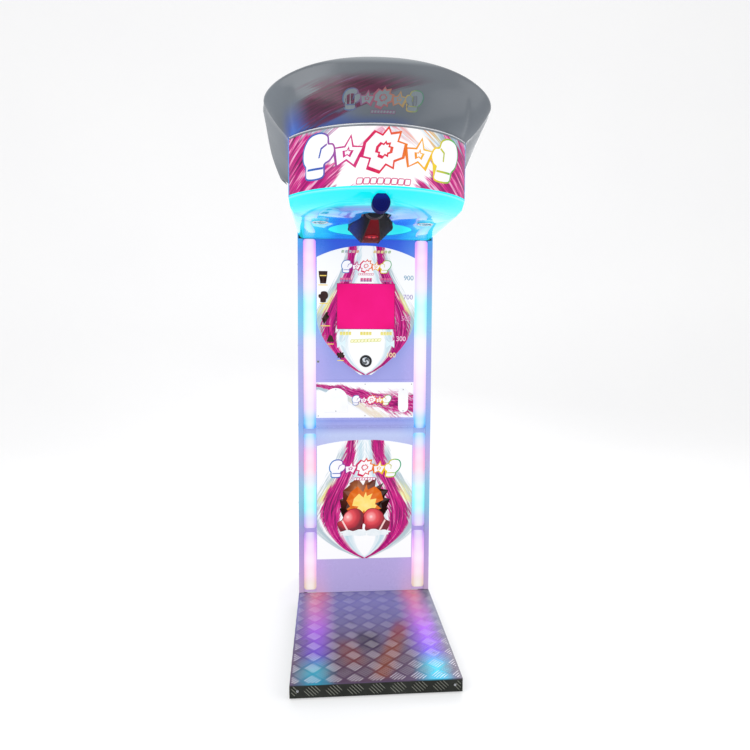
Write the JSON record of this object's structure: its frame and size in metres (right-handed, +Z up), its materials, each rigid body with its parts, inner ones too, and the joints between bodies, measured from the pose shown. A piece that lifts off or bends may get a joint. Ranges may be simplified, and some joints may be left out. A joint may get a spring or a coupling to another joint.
{
  "type": "boxing punch machine",
  "caption": "Upright boxing game cabinet on a tread-plate platform, with an overhanging lit head, a flared hood and a swinging punch bag.",
  "frame": {"origin": "on the floor, at the centre of the machine's footprint", "axes": "+Z up, -Y towards the player, +X to the right as seen from the player's side"},
  "size_m": [0.7332, 1.2192, 2.034],
  "materials": {
    "frame_paint": "satin black powder coat on steel tube",
    "cabinet_paint": "glossy lavender paint on steel sheet",
    "black_paint": "satin black paint on steel",
    "white_paint": "glossy white paint on steel",
    "tread_plate": "dark rolled five-bar tread plate",
    "zinc": "bright zinc plating",
    "chrome": "polished",
    "dark_steel": "oiled machined steel",
    "rubber": "matte black rubber",
    "tyre": "moulded black rubber wheel",
    "black_plastic": "fine-grained black",
    "red_plastic": "glossy red",
    "moulding": "glossy formed lavender plastic",
    "head_tray": "glossy formed plastic, lit cyan",
    "pocket_liner": "glossy formed liner",
    "opal_diffuser": "translucent opal acrylic, lit",
    "printed_acrylic": "printed, backlit acrylic",
    "screen_glass": "lit display under clear glass",
    "button_cap": "clear lens over a grey disc",
    "led_board": "white circuit board with small lights",
    "circuit_board": "green circuit board",
    "dark_lens": "dark tinted lens",
    "downlight": "frosted lens in a plated ring",
    "hood_plastic": "glossy grey formed plastic with a dim print",
    "bag_leather": "panelled synthetic leather with stitched seams"
  },
  "bodies": {
    "cabinet": {"base_frame": "frame_paint", "platform_deck": "tread_plate", "deck_screws": "zinc", "levelling_feet": "rubber", "wheel_brackets": "frame_paint", "wheel_axle": "zinc", "tower_frame": "frame_paint", "left_side_panel": "cabinet_paint", "right_side_panel": "cabinet_paint", "back_panel": "cabinet_paint", "door_hinge_pins": "zinc", "rear_handle": "black_paint", "power_inlet": "black_plastic", "left_bar_channel": "zinc", "right_bar_channel": "zinc", "bar_led_boards": "led_board", "left_upper_bar": "opal_diffuser", "left_middle_bar": "opal_diffuser", "left_lower_bar": "opal_diffuser", "right_upper_bar": "opal_diffuser", "right_middle_bar": "opal_diffuser", "right_lower_bar": "opal_diffuser", "upper_moulding": "moulding", "score_panel": "printed_acrylic", "screen": "screen_glass", "screen_bracket": "frame_paint", "button_housing": "chrome", "console_moulding": "moulding", "console_panel": "printed_acrylic", "note_cover": "white_paint", "coin_cover": "white_paint", "console_screws": "zinc", "lower_moulding": "moulding", "art_panel": "printed_acrylic", "art_led_board": "led_board", "cash_box": "zinc", "power_supply": "zinc", "game_board": "circuit_board", "head_frame": "frame_paint", "head_tray": "head_tray", "sign_panel": "printed_acrylic", "sign_retainers": "zinc", "sign_led_board": "led_board", "sensor_dome": "dark_lens", "downlights": "downlight", "head_roof": "black_paint", "hood_shell": "hood_plastic", "bag_pocket": "pocket_liner", "pivot_mount": "zinc", "encoder_sensor": "black_plastic"},
    "bag": {"bag_swing_arm": "dark_steel", "punch_bag": "bag_leather"},
    "latch": {"latch_hook": "zinc"},
    "start_button": {"button_cap": "button_cap"},
    "rear_door": {"rear_door": "cabinet_paint"},
    "door_lock": {"door_lock_cam": "chrome"},
    "rocker": {"power_rocker": "red_plastic"},
    "left_wheel": {"left_wheel": "tyre"},
    "right_wheel": {"right_wheel": "tyre"},
    "front_lock": {"front_lock": "chrome"}
  },
  "joints": [
    {"name": "bag_swing", "type": "hinge", "parent": "cabinet", "child": "bag", "pos_m": [0, -0.39437, 1.642], "axis": [-1, 0, 0], "range_deg": [0, 100]},
    {"name": "latch_pivot", "type": "hinge", "parent": "cabinet", "child": "latch", "pos_m": [-0.056, -0.33437, 1.696], "axis": [1, 0, 0], "range_deg": [0, 7]},
    {"name": "button_press", "type": "slide", "parent": "cabinet", "child": "start_button", "axis": [0, 1, 0], "range_m": [0, 0.003], "stiffness_N_per_m": 300},
    {"name": "door_hinge", "type": "hinge", "parent": "cabinet", "child": "rear_door", "pos_m": [-0.209, 0.53463, 0.73], "axis": [0, 0, 1], "range_deg": [0, 110]},
    {"name": "door_lock_turn", "type": "hinge", "parent": "rear_door", "child": "door_lock", "pos_m": [0.17, 0.52863, 0.73], "axis": [0, 1, 0], "range_deg": [0, 90]},
    {"name": "rocker_tilt", "type": "hinge", "parent": "cabinet", "child": "rocker", "pos_m": [-0.15, 0.52563, 0.164], "axis": [1, 0, 0], "range_deg": [0, 12]},
    {"name": "left_wheel_spin", "type": "hinge", "parent": "cabinet", "child": "left_wheel", "pos_m": [-0.2, 0.57163, 0.042], "axis": [1, 0, 0], "continuous": true},
    {"name": "right_wheel_spin", "type": "hinge", "parent": "cabinet", "child": "right_wheel", "pos_m": [0.2, 0.57163, 0.042], "axis": [1, 0, 0], "continuous": true},
    {"name": "front_lock_turn", "type": "hinge", "parent": "cabinet", "child": "front_lock", "pos_m": [-0.2042, 0.16563, 1.082], "axis": [0, 1, 0], "range_deg": [0, 90]}
  ]
}
